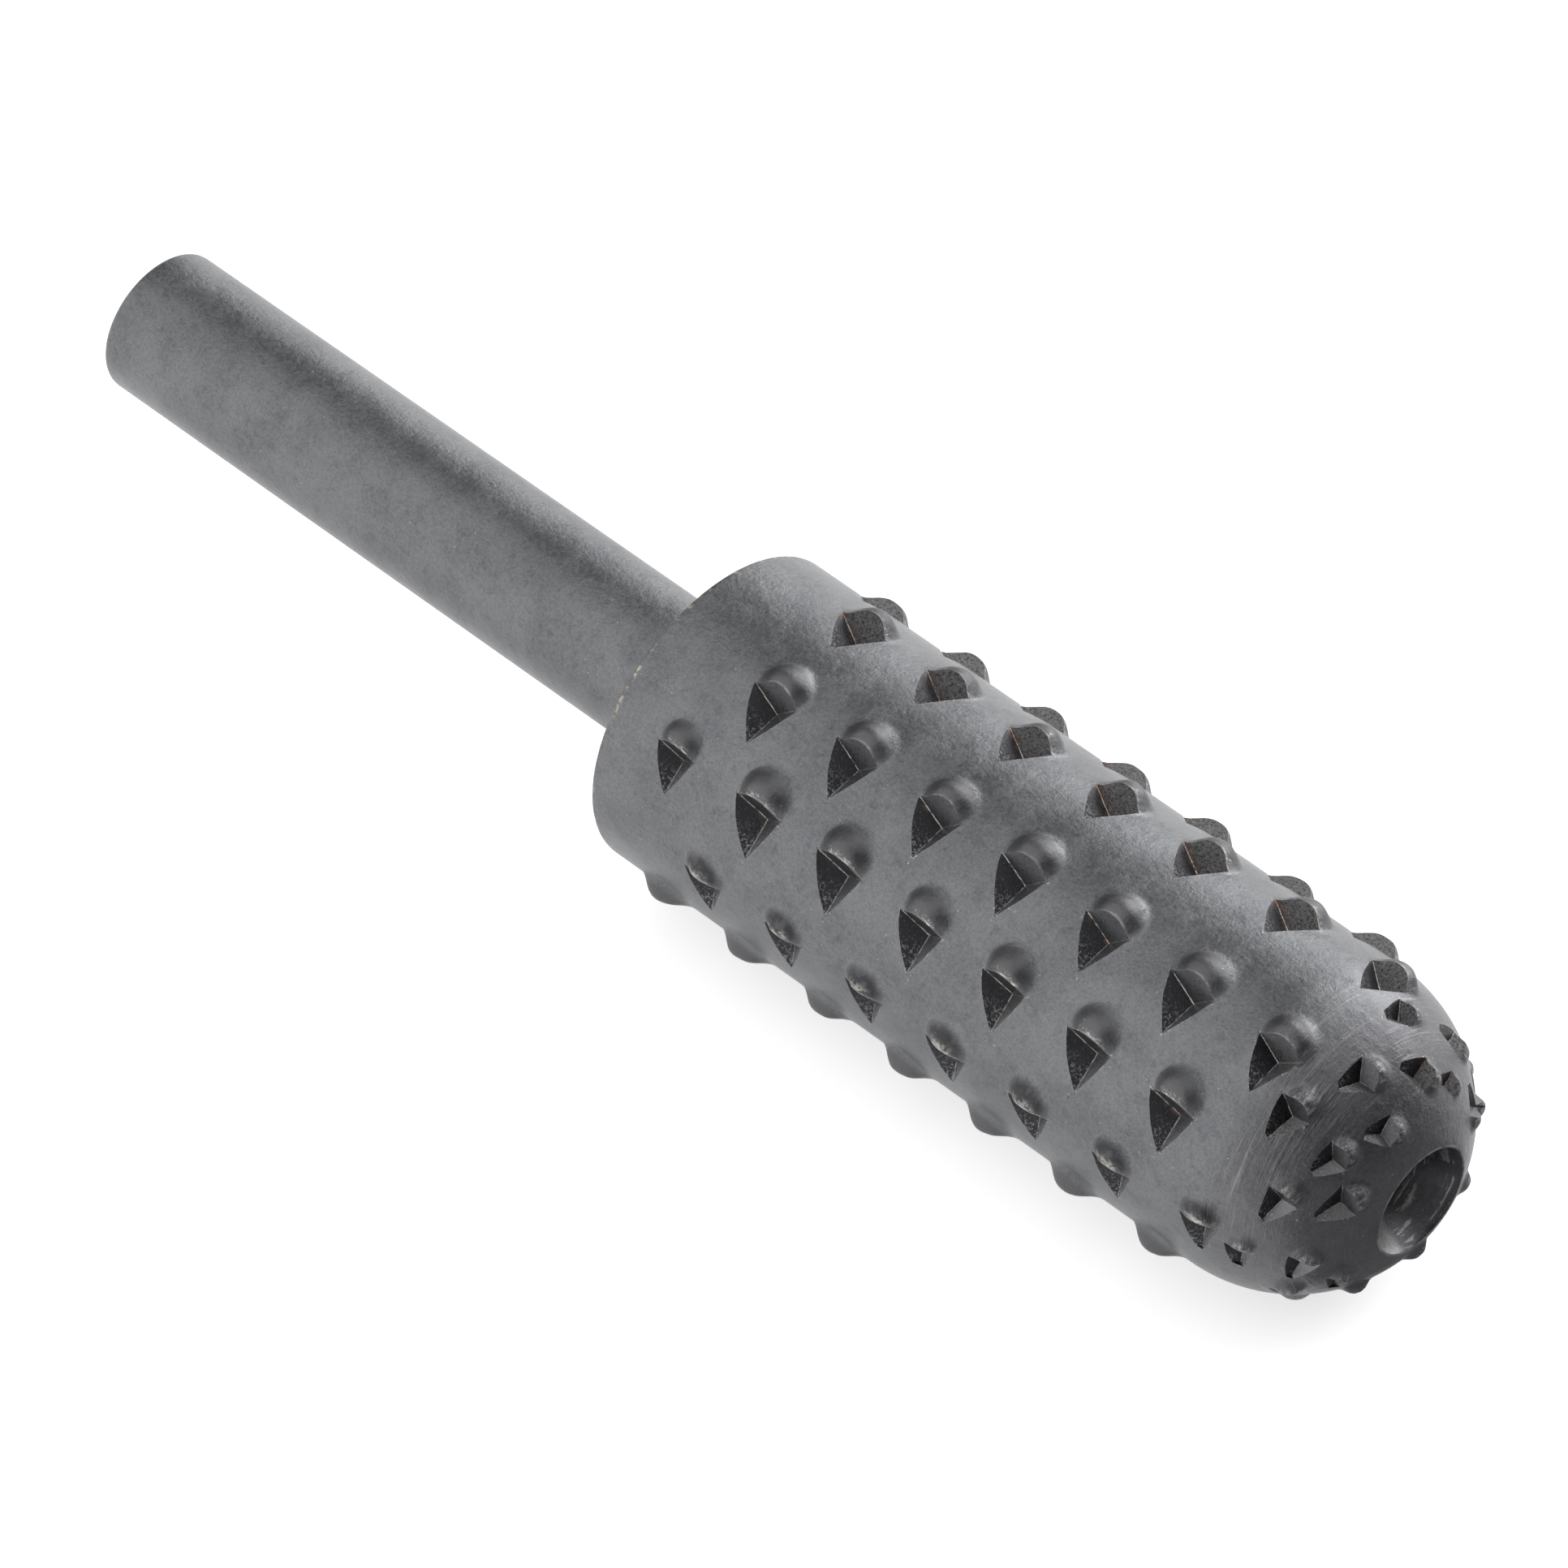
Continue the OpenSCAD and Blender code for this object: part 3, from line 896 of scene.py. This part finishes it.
floor = {
    "height": cadBox[0].z,
    "size": 3.0,
    "color": (0.88, 0.88, 0.88),
    "roughness": 0.8,
    # what lifts the floor to white for the camera, and in the metal
    "glow": 0.58,
    "glowInMetal": 0.47,
}

# A dark card fanning out past the nose, which only the metal mirrors
card = {
    "start": 0.032,
    "near": 0.004,
    "far": 0.4,
    "fromBearing": -62,
    "toBearing": 58,
    "lift": 0.0002,
    "color": (0.3, 0.29, 0.31),
    "roughness": 0.9,
}


def plainMaterial(name, color, roughness):
    material = bpy.data.materials.new(name)
    material.use_nodes = True
    shader = material.node_tree.nodes["Principled BSDF"]
    shader.inputs["Base Color"].default_value = (*color, 1)
    shader.inputs["Roughness"].default_value = roughness
    return material


def stagePiece(name, corners, material):
    mesh = bpy.data.meshes.new(name)
    mesh.from_pydata(corners, [], [(0, 1, 2, 3)])
    mesh.materials.append(material)
    piece = newObject(name, mesh)
    return piece


def makeFloor():
    material = plainMaterial("whiteFloor", floor["color"], floor["roughness"])
    t = Tree(material.node_tree)
    shader = t.tree.nodes["Principled BSDF"]
    shader.inputs["Specular IOR Level"].default_value = 0.0
    shader.inputs["Emission Color"].default_value = (1, 1, 1, 1)
    path = t.add("ShaderNodeLightPath").outputs
    glow = t.sum("ADD", t.times(path["Is Camera Ray"], floor["glow"]),
                 t.times(path["Is Glossy Ray"], floor["glowInMetal"]))
    t.put(shader.inputs["Emission Strength"], glow)
    half, z = floor["size"] / 2, floor["height"]
    stagePiece("floor", [(-half, -half, z), (half, -half, z), (half, half, z), (-half, half, z)], material)


def makeCard():
    z = floor["height"] + card["lift"]
    corners = []
    for reach, bearings in ((card["near"], (card["toBearing"], card["fromBearing"])),
                            (card["far"], (card["fromBearing"], card["toBearing"]))):
        for a in map(math.radians, bearings):
            corners.append((card["start"] + reach * math.cos(a), reach * math.sin(a), z))
    piece = stagePiece("darkCard", corners, plainMaterial("darkCard", card["color"], card["roughness"]))
    piece.visible_camera = False
    piece.visible_diffuse = False
    piece.visible_shadow = False


camera = {
    "azimuth": 44.318,
    "elevation": 45.82,
    "distance": 0.406685,
    "lens": 249.098,
    "sensor": 36,
    "aim": Vector((0.003298, 0.000345, -0.001999)),
}

# The studio's light by direction: a plain level, and soft patches as
# (bearing from +X toward +Y, height, inner angle, outer angle, what the patch adds)
studio = {
    "level": 0.98,
    "least": 0.02,
    "patches": [
        (-5, -5, 55, 75, -0.94),
        (136, 53, 2, 23, -0.95),
        (156, 13, 12, 39, -0.73),
        (88, 22, 15, 45, 1.35),
        (-110, 8, 10, 88, 0.3),
    ],
}

softbox = {"bearing": 95, "height": 22, "distance": 1.0, "size": 0.6, "power": 2}


def towards(bearing, height):
    b, h = math.radians(bearing), math.radians(height)
    return Vector((math.cos(h) * math.cos(b), math.cos(h) * math.sin(b), math.sin(h)))


def makeCamera():
    az, el = math.radians(camera["azimuth"]), math.radians(camera["elevation"])
    toward = Vector((math.cos(el) * math.sin(az), -math.cos(el) * math.cos(az), math.sin(el)))
    data = bpy.data.cameras.new("camera")
    data.lens = camera["lens"]
    data.sensor_width = camera["sensor"]
    data.clip_start, data.clip_end = 0.01, 10
    eye = newObject("camera", data)
    eye.location = camera["aim"] + toward * camera["distance"]
    eye.rotation_euler = toward.to_track_quat("Z", "Y").to_euler()
    bpy.context.scene.camera = eye


def makeSoftbox():
    data = bpy.data.lights.new("backSoftbox", "AREA")
    data.shape = "DISK"
    data.size = softbox["size"]
    data.energy = softbox["power"]
    lamp = newObject("backSoftbox", data)
    away = towards(softbox["bearing"], softbox["height"])
    lamp.location = away * softbox["distance"]
    lamp.rotation_euler = away.to_track_quat("Z", "Y").to_euler()


def makeWorld():
    world = bpy.data.worlds.new("studio")
    bpy.context.scene.world = world
    world.use_nodes = True
    t = Tree(world.node_tree)
    way = t.add("ShaderNodeTexCoord").outputs["Generated"]
    total = studio["level"]
    for bearing, height, inner, outer, gain in studio["patches"]:
        near = t.vec("DOT_PRODUCT", way, tuple(towards(bearing, height)))
        patch = t.ramp(near, math.cos(math.radians(outer)), math.cos(math.radians(inner)), 0.0, gain)
        total = t.sum("ADD", total, patch)
    light = t.sum("MAXIMUM", total, studio["least"])
    # the camera itself sees plain white behind the floor
    seen = t.add("ShaderNodeLightPath").outputs["Is Camera Ray"]
    strength = t.sum("ADD", t.times(light, t.sum("SUBTRACT", 1.0, seen)), seen)
    background = t.tree.nodes["Background"].inputs
    t.put(background["Strength"], strength)
    background["Color"].default_value = (1, 1, 1, 1)


makeFloor()
makeCard()
makeCamera()
makeSoftbox()
makeWorld()
bpy.context.scene.view_settings.view_transform = "Standard"
print("floor, camera and lights set")
